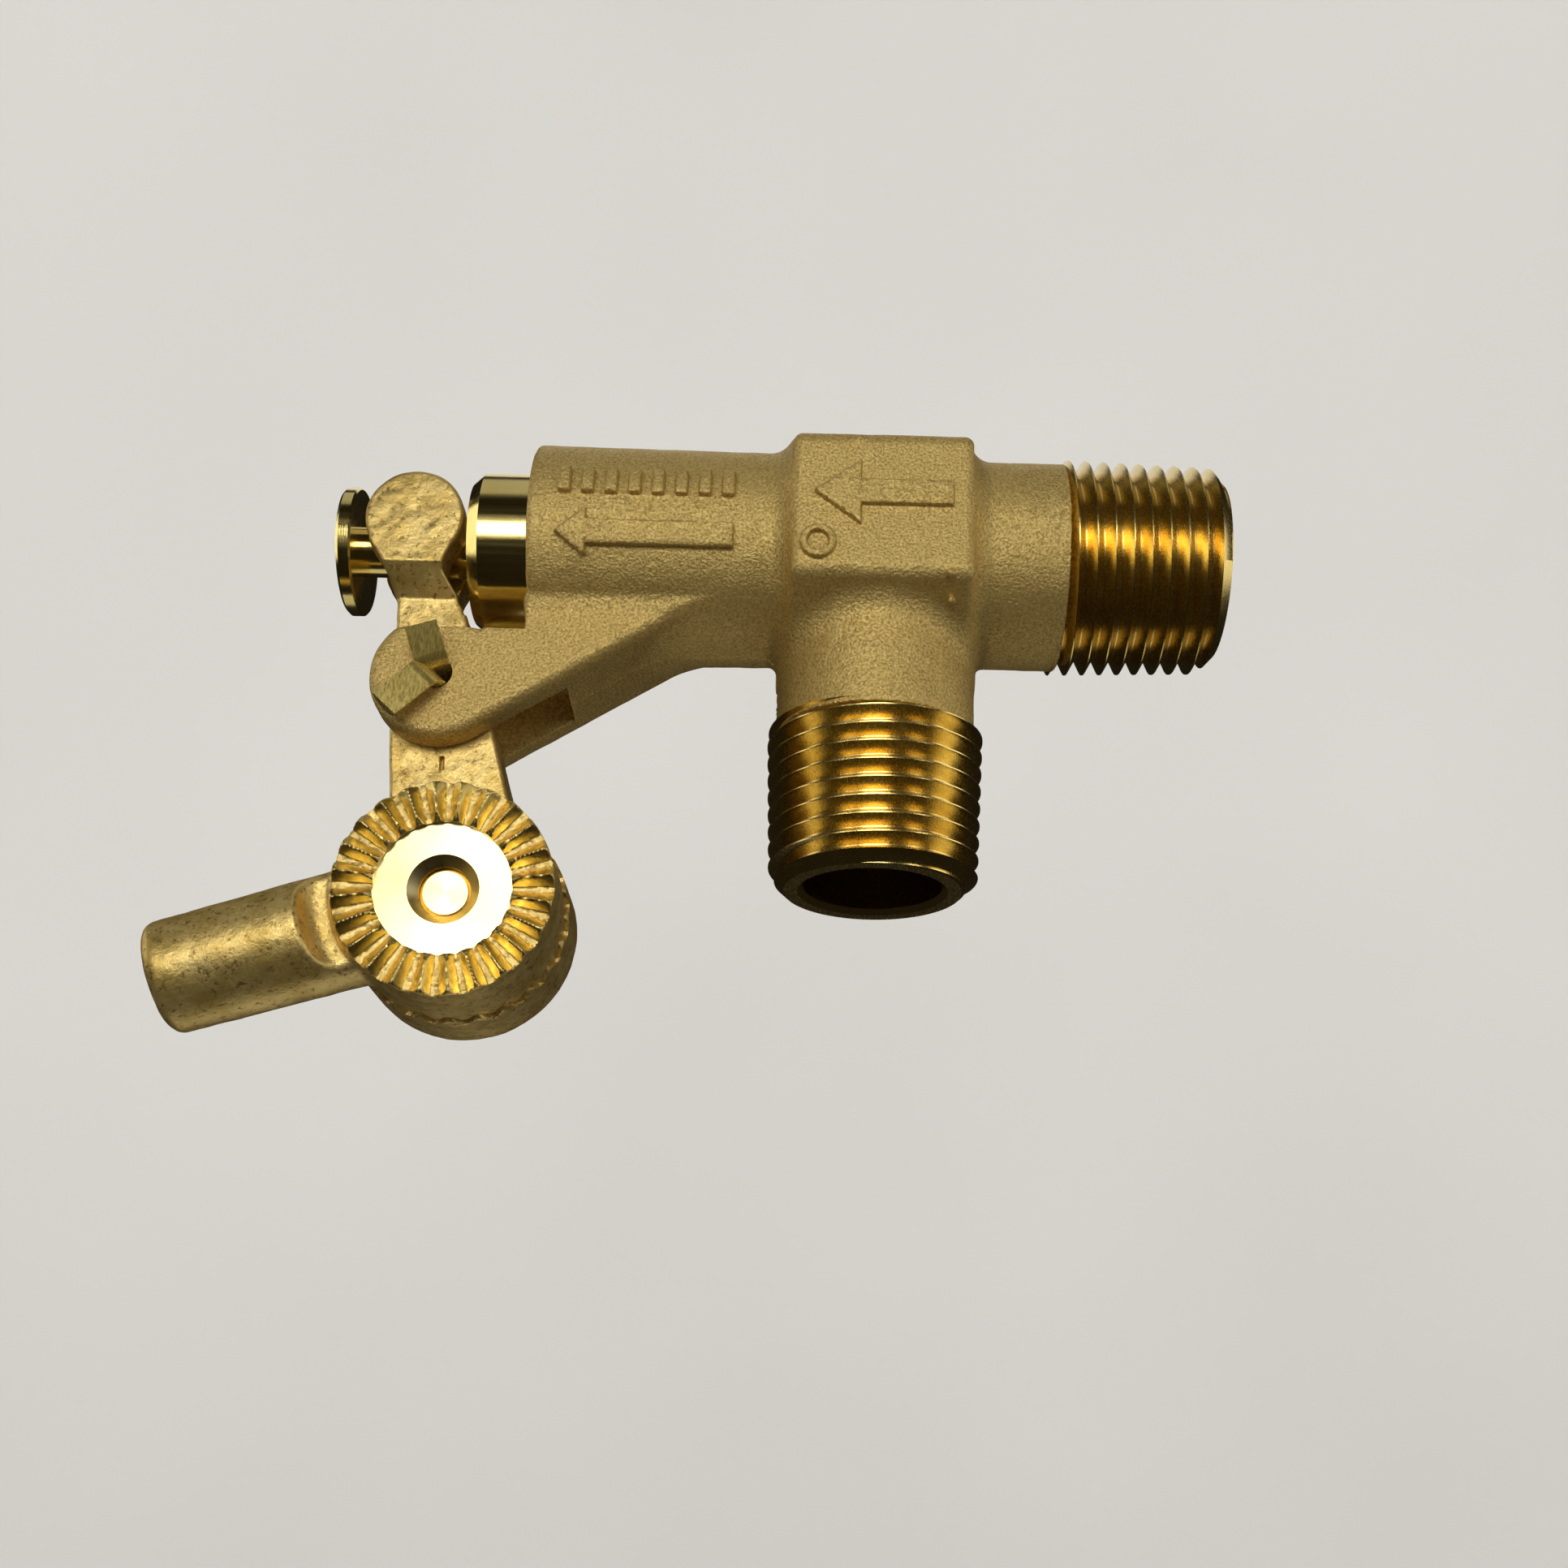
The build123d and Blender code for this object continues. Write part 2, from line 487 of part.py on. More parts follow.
NODES = {
    "valve_body": valve_body,
    "plunger": plunger,
    "seat_disc": seat_disc,
    "plunger_o_ring": plunger_o_ring,
    "fork_lever": fork_lever,
    "pivot_cotter": pivot_cotter,
    "stem_arm": stem_arm,
    "joint_screw": joint_screw,
    "joint_lock_washer": joint_lock_washer,
}

os.makedirs("parts", exist_ok=True)
for name, make in NODES.items():
    export_step(make(), f"parts/{name}.step")
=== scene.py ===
import json
import math

import bpy
import numpy as np
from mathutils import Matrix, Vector


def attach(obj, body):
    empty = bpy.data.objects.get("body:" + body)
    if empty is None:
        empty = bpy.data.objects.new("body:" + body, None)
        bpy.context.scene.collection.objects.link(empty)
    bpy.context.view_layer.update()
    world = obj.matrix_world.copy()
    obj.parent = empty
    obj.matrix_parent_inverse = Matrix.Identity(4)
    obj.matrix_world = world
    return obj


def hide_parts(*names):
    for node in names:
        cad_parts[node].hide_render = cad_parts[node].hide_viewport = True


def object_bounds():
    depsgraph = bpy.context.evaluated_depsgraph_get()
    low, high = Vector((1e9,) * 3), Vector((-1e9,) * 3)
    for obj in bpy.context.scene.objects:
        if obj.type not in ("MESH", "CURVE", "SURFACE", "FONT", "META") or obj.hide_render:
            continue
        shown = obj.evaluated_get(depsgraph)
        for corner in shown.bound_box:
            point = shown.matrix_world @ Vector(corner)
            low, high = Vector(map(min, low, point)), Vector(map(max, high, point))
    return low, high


# Looks of a cast brass float valve. The castings are shown as skins made from signed distance
# fields, so that they have the hollow corners, soft edges, raised marks and uneven faces of sand
# castings. Fields work in mm from the point where the inlet's and the outlet's axes cross:
# x to the right along the inlet, y to the back, z up.

MM = 0.001
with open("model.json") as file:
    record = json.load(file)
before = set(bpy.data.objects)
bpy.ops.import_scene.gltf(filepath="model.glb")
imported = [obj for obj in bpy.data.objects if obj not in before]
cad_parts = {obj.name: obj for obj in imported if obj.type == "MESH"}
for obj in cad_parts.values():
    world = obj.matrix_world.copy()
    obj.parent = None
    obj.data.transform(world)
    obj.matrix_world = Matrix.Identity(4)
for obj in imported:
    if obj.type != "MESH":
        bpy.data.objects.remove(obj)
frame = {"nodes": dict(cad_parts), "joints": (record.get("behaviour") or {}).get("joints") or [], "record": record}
cad_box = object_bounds()
record = frame["record"]


def mount(name):
    return next(m for m in record["mounts"] if m["name"] == name)


def joint(name):
    return next(j for j in frame["joints"] if j["name"] == name)


OUTLET_X = mount("outlet_thread")["pos_m"][0] / MM          # the fields' zero, in the part's frame
INLET_END = -OUTLET_X
OUTLET_END = mount("outlet_thread")["pos_m"][2] / MM
PIVOT = np.array(joint("lever_pivot")["pos_m"]) / MM - (OUTLET_X, 0, 0)
JOINT = np.array(joint("arm_adjust")["pos_m"]) / MM - (OUTLET_X, 0, 0)


# ---------------------------------------------------------------- camera, lights, floor

def link(thing):
    bpy.context.scene.collection.objects.link(thing)
    return thing


CAMERA_PLACE = (-0.04206, -0.17643, -0.09455)               # metres
CAMERA_ANGLES = (104.575, -1.529, -0.008)                   # degrees
CAMERA_LENS = 43.0
CAMERA_SENSOR = 36
CAMERA_SHIFT = 0.1483


def make_camera():
    data = bpy.data.cameras.new("camera")
    data.sensor_width = CAMERA_SENSOR
    data.lens = CAMERA_LENS
    data.shift_y = CAMERA_SHIFT
    data.clip_start, data.clip_end = 0.01, 10
    camera = link(bpy.data.objects.new("camera", data))
    camera.location = CAMERA_PLACE
    camera.rotation_euler = [math.radians(a) for a in CAMERA_ANGLES]
    bpy.context.scene.camera = camera


def soft_box(name, place, target, size, power):
    data = bpy.data.lights.new(name, "AREA")
    data.shape = "RECTANGLE"
    data.size, data.size_y = size
    data.energy = power
    lamp = link(bpy.data.objects.new(name, data))
    lamp.location = place
    lamp.rotation_euler = (Vector(target) - Vector(place)).to_track_quat("-Z", "Y").to_euler()
    return lamp


# ---------------------------------------------------------------- materials

class Finish:
    """A principled metal or rubber with procedural detail, in the part's own metres."""

    def __init__(self, name, metallic):
        self.material = bpy.data.materials.new(name)
        self.material.use_nodes = True
        self.nodes = self.material.node_tree.nodes
        self.links = self.material.node_tree.links
        self.shader = self.nodes["Principled BSDF"]
        self.shader.inputs["Metallic"].default_value = metallic
        self.place = self.nodes.new("ShaderNodeTexCoord").outputs["Object"]
        self.normal = None

    def noise(self, size, detail=2, stretch=(1, 1, 1), roughness=0.5):
        """Noise with features of that size in metres, longer along the axes with a small stretch."""
        mapping = self.nodes.new("ShaderNodeMapping")
        mapping.inputs["Scale"].default_value = [v / size for v in stretch]
        self.links.new(self.place, mapping.inputs["Vector"])
        noise = self.nodes.new("ShaderNodeTexNoise")
        noise.inputs["Scale"].default_value = 1
        noise.inputs["Detail"].default_value = detail
        noise.inputs["Roughness"].default_value = roughness
        self.links.new(mapping.outputs["Vector"], noise.inputs["Vector"])
        return noise.outputs["Fac"]

    def ramp(self, value, *stops):
        """Stops are (position, grey or colour)."""
        ramp = self.nodes.new("ShaderNodeValToRGB")
        points = ramp.color_ramp.elements
        while len(points) < len(stops):
            points.new(0.5)
        for point, (position, colour) in zip(points, stops):
            point.position = position
            point.color = (*([colour] * 3 if isinstance(colour, float) else colour), 1)
        self.links.new(value, ramp.inputs["Fac"])
        return ramp.outputs["Color"]

    def mix(self, share, a, b):
        node = self.nodes.new("ShaderNodeMix")
        node.data_type = "RGBA"
        self.links.new(share, node.inputs["Factor"])
        for socket, value in ((node.inputs[6], a), (node.inputs[7], b)):
            if isinstance(value, tuple):
                socket.default_value = (*value, 1)
            else:
                self.links.new(value, socket)
        return node.outputs[2]

    def bump(self, height, distance):
        node = self.nodes.new("ShaderNodeBump")
        node.inputs["Distance"].default_value = distance
        node.inputs["Strength"].default_value = 1
        self.links.new(height, node.inputs["Height"])
        if self.normal:
            self.links.new(self.normal, node.inputs["Normal"])
        self.normal = node.outputs["Normal"]

    def set(self, **values):
        for name, value in values.items():
            socket = self.shader.inputs[name.replace("_", " ")]
            if isinstance(value, bpy.types.NodeSocket):
                self.links.new(value, socket)
            else:
                socket.default_value = value

    def done(self):
        if self.normal:
            self.links.new(self.normal, self.shader.inputs["Normal"])
        return self.material


def cast_brass():
    """Sand-cast and tumbled: matte, grainy, a little darker in the hollows of the grain."""
    finish = Finish("cast_brass", 0.9)
    grain = finish.noise(0.00027, 3, roughness=0.6)
    patches = finish.noise(0.006, 3)
    fine = finish.ramp(grain, (0.34, (0.46, 0.31, 0.09)), (0.62, (0.84, 0.62, 0.22)))
    finish.set(Base_Color=finish.mix(finish.ramp(patches, (0.35, 0.0), (0.7, 0.35)), fine,
                                     (0.68, 0.48, 0.15)),
               Roughness=finish.ramp(grain, (0.3, 0.60), (0.7, 0.42)))
    finish.bump(finish.noise(0.0011, 2), 0.00004)
    finish.bump(grain, 0.00014)
    return finish.done()


def forged_brass():
    """The lever's and the arm's castings: smoother, mottled, with dark pits."""
    finish = Finish("forged_brass", 0.9)
    grain = finish.noise(0.00032, 3, roughness=0.6)
    pits = finish.noise(0.0006, 4, roughness=0.7)
    mottle = finish.noise(0.0024, 3)
    tone = finish.ramp(mottle, (0.35, (0.64, 0.44, 0.12)), (0.65, (0.84, 0.62, 0.22)))
    # The colour is darkest where the pits noise is lowest, which is where the bump sinks into pits.
    pit_darkening = finish.ramp(pits, (0.36, 1.0), (0.43, 0.0))
    finish.set(Base_Color=finish.mix(pit_darkening, tone, (0.34, 0.22, 0.07)),
               Roughness=finish.ramp(grain, (0.3, 0.52), (0.7, 0.36)))
    finish.bump(pits, 0.00004)
    finish.bump(grain, 0.00004)
    return finish.done()


def turned_brass():
    """Bright machined brass with fine tool marks."""
    finish = Finish("turned_brass", 1.0)
    marks = finish.noise(0.00012, 2, (1, 0.15, 1))
    stain = finish.noise(0.004, 3)
    finish.set(Base_Color=finish.ramp(stain, (0.3, (0.74, 0.53, 0.15)), (0.7, (0.86, 0.66, 0.24))),
               Roughness=finish.ramp(marks, (0.3, 0.17), (0.7, 0.28)))
    finish.bump(marks, 0.000006)
    return finish.done()


def plunger_brass():
    """Turned round the plunger's axis, with rings of tool marks and faint drag lines."""
    finish = Finish("plunger_brass", 1.0)
    rings = finish.noise(0.00011, 2, (1, 0.01, 0.01))
    drags = finish.noise(0.0006, 3, (0.03, 1, 1))
    stain = finish.noise(0.005, 3)
    finish.set(Base_Color=finish.ramp(stain, (0.3, (0.84, 0.65, 0.20)), (0.7, (0.92, 0.74, 0.28))),
               Roughness=finish.ramp(drags, (0.35, 0.12), (0.65, 0.20)))
    finish.bump(rings, 0.000004)
    finish.bump(drags, 0.000003)
    return finish.done()


def coined_brass():
    """The serrations' flanks, pressed smooth."""
    finish = Finish("coined_brass", 1.0)
    wear = finish.noise(0.0007, 3)
    finish.set(Base_Color=finish.ramp(wear, (0.3, (0.72, 0.52, 0.13)), (0.7, (0.86, 0.65, 0.22))),
               Roughness=finish.ramp(wear, (0.3, 0.36), (0.7, 0.26)))
    finish.bump(wear, 0.00002)
    return finish.done()


def faced_brass():
    """Faces turned around the serrated joint's axis, with a highlight across their tool marks."""
    finish = Finish("faced_brass", 1.0)
    nodes, links = finish.nodes, finish.links
    offset = nodes.new("ShaderNodeVectorMath")
    offset.operation = "SUBTRACT"
    offset.inputs[1].default_value = [c * MM for c in (JOINT[0] + OUTLET_X, 0, JOINT[2])]
    links.new(finish.place, offset.inputs[0])
    around = nodes.new("ShaderNodeVectorMath")
    around.operation = "CROSS_PRODUCT"
    around.inputs[1].default_value = (0, 1, 0)
    links.new(offset.outputs["Vector"], around.inputs[0])
    turned = nodes.new("ShaderNodeVectorTransform")
    turned.vector_type, turned.convert_from, turned.convert_to = "VECTOR", "OBJECT", "WORLD"
    links.new(around.outputs["Vector"], turned.inputs["Vector"])
    even = nodes.new("ShaderNodeVectorMath")
    even.operation = "NORMALIZE"
    links.new(turned.outputs["Vector"], even.inputs[0])
    stain = finish.noise(0.002, 3)
    finish.set(Base_Color=finish.ramp(stain, (0.3, (0.95, 0.76, 0.34)), (0.7, (1.0, 0.84, 0.44))),
               Roughness=finish.ramp(stain, (0.3, 0.27), (0.7, 0.31)),
               Anisotropic=0.6, Tangent=even.outputs["Vector"])
    return finish.done()


def pin_brass():
    """Drawn half-round wire: satin, with lines along it."""
    finish = Finish("pin_brass", 0.92)
    lines = finish.noise(0.0002, 2, (1, 0.1, 0.3))
    stain = finish.noise(0.002, 3)
    finish.set(Base_Color=finish.ramp(stain, (0.3, (0.84, 0.62, 0.15)), (0.7, (0.95, 0.74, 0.24))),
               Roughness=finish.ramp(lines, (0.3, 0.22), (0.7, 0.33)))
    finish.bump(lines, 0.000004)
    return finish.done()


def rubber():
    finish = Finish("rubber", 0.0)
    grain = finish.noise(0.0003, 3)
    finish.set(Base_Color=finish.ramp(grain, (0.3, (0.012, 0.012, 0.012)), (0.7, (0.03, 0.03, 0.03))),
               Roughness=finish.ramp(grain, (0.3, 0.5), (0.7, 0.7)))
    finish.bump(grain, 0.00001)
    return finish.done()


def studio_paint():
    """The pale matte floor and backdrop."""
    finish = Finish("studio_paint", 0.0)
    tone = finish.noise(0.4, 2)
    finish.set(Base_Color=finish.ramp(tone, (0.3, (0.70, 0.69, 0.67)), (0.7, (0.74, 0.73, 0.71))),
               Roughness=0.9)
    return finish.done()


CAST = cast_brass()
FORGED = forged_brass()
TURNED = turned_brass()
COINED = coined_brass()
FACED = faced_brass()


# ---------------------------------------------------------------- signed distance fields

def join_round(a, b, radius):
    """Union with a hollow corner of that radius."""
    u, v = np.maximum(radius - a, 0), np.maximum(radius - b, 0)
    return np.maximum(radius, np.minimum(a, b)) - np.sqrt(u * u + v * v)


def cut_round(a, b, radius):
    """What a and b share, with its edge rounded."""
    u, v = np.maximum(radius + a, 0), np.maximum(radius + b, 0)
    return np.minimum(-radius, np.maximum(a, b)) + np.sqrt(u * u + v * v)


def box_2d(u, v, half_u, half_v, corner):
    """A rectangle with rounded corners."""
    du, dv = np.abs(u) - half_u + corner, np.abs(v) - half_v + corner
    outside = np.sqrt(np.maximum(du, 0) ** 2 + np.maximum(dv, 0) ** 2)
    return outside + np.minimum(np.maximum(du, dv), 0) - corner


def convex_2d(u, v, points):
    """A convex polygon given clockwise."""
    field = None
    for (u0, v0), (u1, v1) in zip(points, points[1:] + points[:1]):
        length = math.hypot(u1 - u0, v1 - v0)
        side = ((u - u0) * (v0 - v1) + (v - v0) * (u1 - u0)) / length
        field = side if field is None else np.maximum(field, side)
    return field


def polygon_2d(u, v, points):
    """The distance to any simple polygon."""
    nearest, crossings = np.inf, False
    for (u0, v0), (u1, v1) in zip(points, points[1:] + points[:1]):
        du, dv = u1 - u0, v1 - v0
        along = np.clip(((u - u0) * du + (v - v0) * dv) / (du * du + dv * dv), 0, 1)
        nearest = np.minimum(nearest, np.hypot(u - u0 - along * du, v - v0 - along * dv))
        spans = (v0 <= v) != (v1 <= v)
        crossings = crossings ^ (spans & (u < u0 + (v - v0) * du / (dv or 1e-9)))
    return np.where(crossings, -nearest, nearest)


def rough(x, y, z, size, seed):
    """Smooth random values from -1 to 1, with features of about that size."""
    rng = np.random.default_rng(seed)
    table = rng.uniform(-1, 1, (32, 32, 32)).astype(np.float32)
    parts = []
    for c in (x, y, z):
        c = c / size
        low = np.floor(c)
        t = c - low
        parts.append((low.astype(int) % 32, (low.astype(int) + 1) % 32, t * t * (3 - 2 * t)))
    (x0, x1, tx), (y0, y1, ty), (z0, z1, tz) = parts
    def row(yi, zi):
        return table[x0, yi, zi] * (1 - tx) + table[x1, yi, zi] * tx
    near = row(y0, z0) * (1 - ty) + row(y1, z0) * ty
    far = row(y0, z1) * (1 - ty) + row(y1, z1) * ty
    return near * (1 - tz) + far * tz


# ---------------------------------------------------------------- meshing a field

def grid_field(field, low, high, step):
    axes = [np.arange(a, b + step, step, dtype=np.float32) for a, b in zip(low, high)]
    values = np.empty([len(a) for a in axes], np.float32)
    for start in range(0, len(axes[0]), 24):
        x, y, z = np.meshgrid(axes[0][start:start + 24], axes[1], axes[2], indexing="ij",
                              sparse=True)
        values[start:start + 24] = field(x, y, z)
    return values


def surface_of(field, low, high, step):
    """Vertices and quads of the field's zero surface, with each vertex drawn onto it."""
    step = step
    values = grid_field(field, low, high, step)
    inside = values < 0
    corners = [(i, j, k) for i in (0, 1) for j in (0, 1) for k in (0, 1)]
    shape = [n - 1 for n in values.shape]
    def shifted(array, corner):
        return array[tuple(slice(c, c + n) for c, n in zip(corner, shape))]
    count = sum(shifted(inside, c).astype(np.int8) for c in corners)
    cells = np.argwhere((count > 0) & (count < 8))
    number = np.full(shape, -1, np.int32)
    number[tuple(cells.T)] = np.arange(len(cells))
    at_corner = {c: values[tuple((cells + c).T)] for c in corners}
    total = np.zeros((len(cells), 3))
    hits = np.zeros(len(cells))
    for c in corners:
        for axis in range(3):
            if c[axis] == 0:
                other = tuple(1 if a == axis else c[a] for a in range(3))
                f0, f1 = at_corner[c], at_corner[other]
                crossing = (f0 < 0) != (f1 < 0)
                t = np.where(crossing, f0 / np.where(crossing, f0 - f1, 1), 0)
                place = np.repeat([c], len(cells), 0).astype(float)
                place[:, axis] += t
                total += place * crossing[:, None]
                hits += crossing
    points = (cells + total / hits[:, None]) * step + np.array(low)
    points = drawn_onto(field, points, step)
    quads = []
    for axis in range(3):
        b, c = (axis + 1) % 3, (axis + 2) % 3
        first = [slice(1, -1)] * 3
        second = list(first)
        first[axis], second[axis] = slice(0, -1), slice(1, None)
        s0, s1 = inside[tuple(first)], inside[tuple(second)]
        base = np.argwhere(s0 != s1)
        base[:, [b, c]] += 1
        leaving = s0[s0 != s1]
        ring = []
        for db, dc in ((1, 1), (0, 1), (0, 0), (1, 0)):
            cell = base.copy()
            cell[:, b] -= db
            cell[:, c] -= dc
            ring.append(number[tuple(cell.T)])
        ring = np.stack(ring, 1)
        ring[~leaving] = ring[~leaving][:, ::-1]
        quads.append(ring)
    return points, np.concatenate(quads)


def drawn_onto(field, points, step, rounds=3):
    small = 0.04
    for _ in range(rounds):
        x, y, z = points.T
        value = field(x, y, z)
        slope = np.stack([field(x + small, y, z) - field(x - small, y, z),
                          field(x, y + small, z) - field(x, y - small, z),
                          field(x, y, z + small) - field(x, y, z - small)], 1) / (2 * small)
        size = np.maximum((slope ** 2).sum(1), 0.25)
        move = -slope * (value / size)[:, None]
        length = np.linalg.norm(move, axis=1)
        points = points + move * np.minimum(1, 0.4 * step / np.maximum(length, 1e-9))[:, None]
    return points


CAST_SLOT, TURNED_SLOT, COINED_SLOT, FACED_SLOT = range(4)


def mesh_object(name, points, faces, finish=CAST_SLOT, cast=CAST):
    """An object from points in the fields' mm, with the same four materials on every piece."""
    mesh = bpy.data.meshes.new(name)
    points = (np.asarray(points, float) + (OUTLET_X, 0, 0)) * MM
    mesh.from_pydata(points.tolist(), [], faces.tolist() if isinstance(faces, np.ndarray) else faces)
    mesh.update()
    for skin in (cast, TURNED, COINED, FACED):
        mesh.materials.append(skin)
    mesh.polygons.foreach_set("material_index", [finish] * len(mesh.polygons))
    return link(bpy.data.objects.new(name, mesh))


def lathe(name, outline, place, along, steps=192):
    """A closed turned solid from (distance along the axis, radius) points."""
    along = Vector(along).normalized()
    side = along.orthogonal().normalized()
    up = along.cross(side)
    points, faces = [], []
    for distance, radius in outline:
        for i in range(steps):
            angle = 2 * math.pi * i / steps
            points.append(Vector(place) + along * distance
                          + (side * math.cos(angle) + up * math.sin(angle)) * radius)
    for row in range(len(outline) - 1):
        for i in range(steps):
            a, b = row * steps + i, row * steps + (i + 1) % steps
            faces.append([a, b, b + steps, a + steps])
    faces.append(list(range(steps))[::-1])
    faces.append([(len(outline) - 1) * steps + i for i in range(steps)])
    return mesh_object(name, points, faces, TURNED_SLOT)


def combine(target, tool, operation):
    change = target.modifiers.new(operation, "BOOLEAN")
    change.operation, change.object, change.solver = operation, tool, "MANIFOLD"
    apply_all(target)
    bpy.data.objects.remove(tool)


def apply_all(target):
    evaluated = target.evaluated_get(bpy.context.evaluated_depsgraph_get())
    mesh = bpy.data.meshes.new_from_object(evaluated)
    target.modifiers.clear()
    old, target.data = target.data, mesh
    bpy.data.meshes.remove(old)


# ---------------------------------------------------------------- the body's casting

BARREL_END = -35.05
CLEVIS_TOP = -11.5
EAR_RADIUS = 6.7
CLEVIS_HALF = 7.0
CLEVIS_ROOT = (-21.0, -10.3)
THREAD_LENGTH = 16.2
NECK_END = INLET_END - THREAD_LENGTH
TUBE_END = OUTLET_END + THREAD_LENGTH
BARREL_RADIUS = 10.7
BARREL_FLARE = 0.4                  # how much wider its end is
BARREL_EDGE = 0.7
BARREL_INSIDE = 4                   # where it stops, inside the hexagon
NECK_RADIUS = 10.45
TUBE_RADIUS = 9.95
FLATS_HALF = 12.7
HEXAGON_HALF = 8.9                  # along the inlet's axis
HEXAGON_EDGE = 0.9
HEXAGON_CORNER = 2.4                # the hollow corners where other shapes meet it
TUBE_CORNER = 1.9
CLEVIS_CORNER = 1.3
CLEVIS_EDGE = 1.2
WEB_TOP = -8                        # inside the barrel
SLOT_HALF = 3.95
SLOT_END = -31.0
SLOT_TOP = -11.15
SEAM_HALF = 0.12
SEAM_HEIGHT = 0.16


def hexagon_field(x, y, z):
    first, second, third = (np.abs(y * math.cos(a) + z * math.sin(a)) - FLATS_HALF
                            for a in np.radians((0, 60, 120)))
    shape = cut_round(cut_round(first, second, HEXAGON_EDGE), third, HEXAGON_EDGE)
    return cut_round(shape, np.abs(x) - HEXAGON_HALF, HEXAGON_EDGE)


def clevis_field(x, y, z):
    """Two ears round the pin, and the web that runs from them to the barrel along a tangent."""
    px, pz = PIVOT[0], PIVOT[2]
    away = (CLEVIS_ROOT[0] - px, CLEVIS_ROOT[1] - pz)
    turn = math.atan2(away[1], away[0]) - math.acos(EAR_RADIUS / math.hypot(*away))
    under = (x - px) * math.cos(turn) + (z - pz) * math.sin(turn) - EAR_RADIUS
    web = np.maximum(np.maximum(under, z - WEB_TOP), px + EAR_RADIUS * math.cos(turn) - x)
    ear = np.hypot(x - px, z - pz) - EAR_RADIUS
    outline = np.minimum(web, ear)
    block = cut_round(outline, np.abs(y) - CLEVIS_HALF, CLEVIS_EDGE)
    above = np.maximum(CLEVIS_TOP - z, x - BARREL_END)
    return cut_round(block, -above, 0.25)


def bars(u, v, spots, half_height, half_width):
    """Short upright bars in a row."""
    field = None
    for spot in spots:
        bar = box_2d(u - spot, v, half_width, half_height, 0.25)
        field = bar if field is None else np.minimum(field, bar)
    return field


def arrow(u, v, tail, tip, half, head):
    """A plain arrow pointing from tail towards tip along u."""
    way = 1 if tip > tail else -1
    neck = tip - way * head
    shaft = box_2d(u - (tail + neck) / 2, v, abs(neck - tail) / 2, half, 0.2)
    point = [(neck, head * 0.75), (tip, 0), (neck, -head * 0.75)]
    if way < 0:
        point = point[::-1]
    return np.minimum(shaft, convex_2d(u, v, point))


MARK_HEIGHT = 0.7
MARK_RADIUS = 11.45                 # of the marks' tops on the barrel
MARK_SLOPE = 0.0114                 # how fast that radius grows towards the barrel's end
MARK_EDGE = 0.25
MARK_WRAP = 11.0                    # the radius that turns angles round the barrel into mm


def raised_marks(x, y, z):
    """Generic raised marks on the front: a flow arrow and a ring on the hexagon, and a plain
    arrow under a row of bars on the barrel."""
    around = np.arctan2(z, -y) * MARK_WRAP
    hexagon = arrow(x, z - 0.9, tail=6.8, tip=-6.8, half=1.3, head=4.6)
    ring = np.abs(np.hypot(x + 6.3, z + 4.5) - 1.4) - 0.35
    on_face = cut_round(np.minimum(hexagon, ring), -y - (FLATS_HALF + MARK_HEIGHT), MARK_EDGE)
    low_row = arrow(x, around + 2.9, tail=-14.6, tip=-32.2, half=1.15, head=3.1)
    high_row = bars(x, around - 2.6, np.linspace(-31.4, -15.2, 8), half_height=1.5, half_width=0.62)
    radius = np.hypot(y, z)
    on_barrel = cut_round(np.minimum(low_row, high_row), radius - MARK_RADIUS + MARK_SLOPE * x,
                          MARK_EDGE)
    side = np.where(x < -11, on_barrel, on_face)
    return np.maximum(side, y)


# x, y, z and radius of the knobs
PIMPLES = ((6.6, -12.6, -7.4, 0.42), (6.8, -10.5, -9.2, 0.4), (-2.4, -12.6, 6.9, 0.36),
           (-14.0, 9.2, -5.2, 0.45), (3.0, 12.6, 4.0, 0.4), (-27.0, 6.0, 8.9, 0.4))


def pimples(x, y, z):
    """Small knobs left by bubbles in the mould."""
    field = None
    for px, py, pz, radius in PIMPLES:
        knob = np.sqrt((x - px) ** 2 + (y - py) ** 2 + (z - pz) ** 2) - radius
        field = knob if field is None else np.minimum(field, knob)
    return field


def casting_field(x, y, z):
    radius = np.hypot(y, z)
    barrel = cut_round(radius - BARREL_RADIUS - BARREL_FLARE * x / BARREL_END, BARREL_END - x,
                       BARREL_EDGE)
    barrel = np.maximum(barrel, x - BARREL_INSIDE)
    neck = np.maximum(radius - NECK_RADIUS, -x)
    neck = np.maximum(neck, x - NECK_END)
    tube = np.maximum(np.maximum(np.hypot(x, y) - TUBE_RADIUS, z), TUBE_END - z)
    shell = join_round(barrel, clevis_field(x, y, z), CLEVIS_CORNER)
    shell = join_round(shell, hexagon_field(x, y, z), HEXAGON_CORNER)
    shell = join_round(shell, neck, HEXAGON_CORNER)
    shell = join_round(shell, tube, TUBE_CORNER)
    seam = np.maximum(np.abs(y) - SEAM_HALF, shell - SEAM_HEIGHT)
    seam = np.where((z < -2) & (x < -10), seam, 1)
    shell = join_round(shell, seam, 0.15)
    shell = join_round(shell, raised_marks(x, y, z), 0.18)
    shell = join_round(shell, pimples(x, y, z), 0.2)
    shell = shell + 0.035 * rough(x, y, z, 1.6, 1) + 0.012 * rough(x, y, z, 0.55, 2)
    shell = np.maximum(shell, np.maximum(x - NECK_END, np.where(x > -12, TUBE_END - z, -9)))
    slot = np.maximum(np.maximum(np.abs(y) - SLOT_HALF, x - SLOT_END), z - SLOT_TOP)
    return cut_round(shell, -slot, 0.2)


# ---------------------------------------------------------------- pipe threads

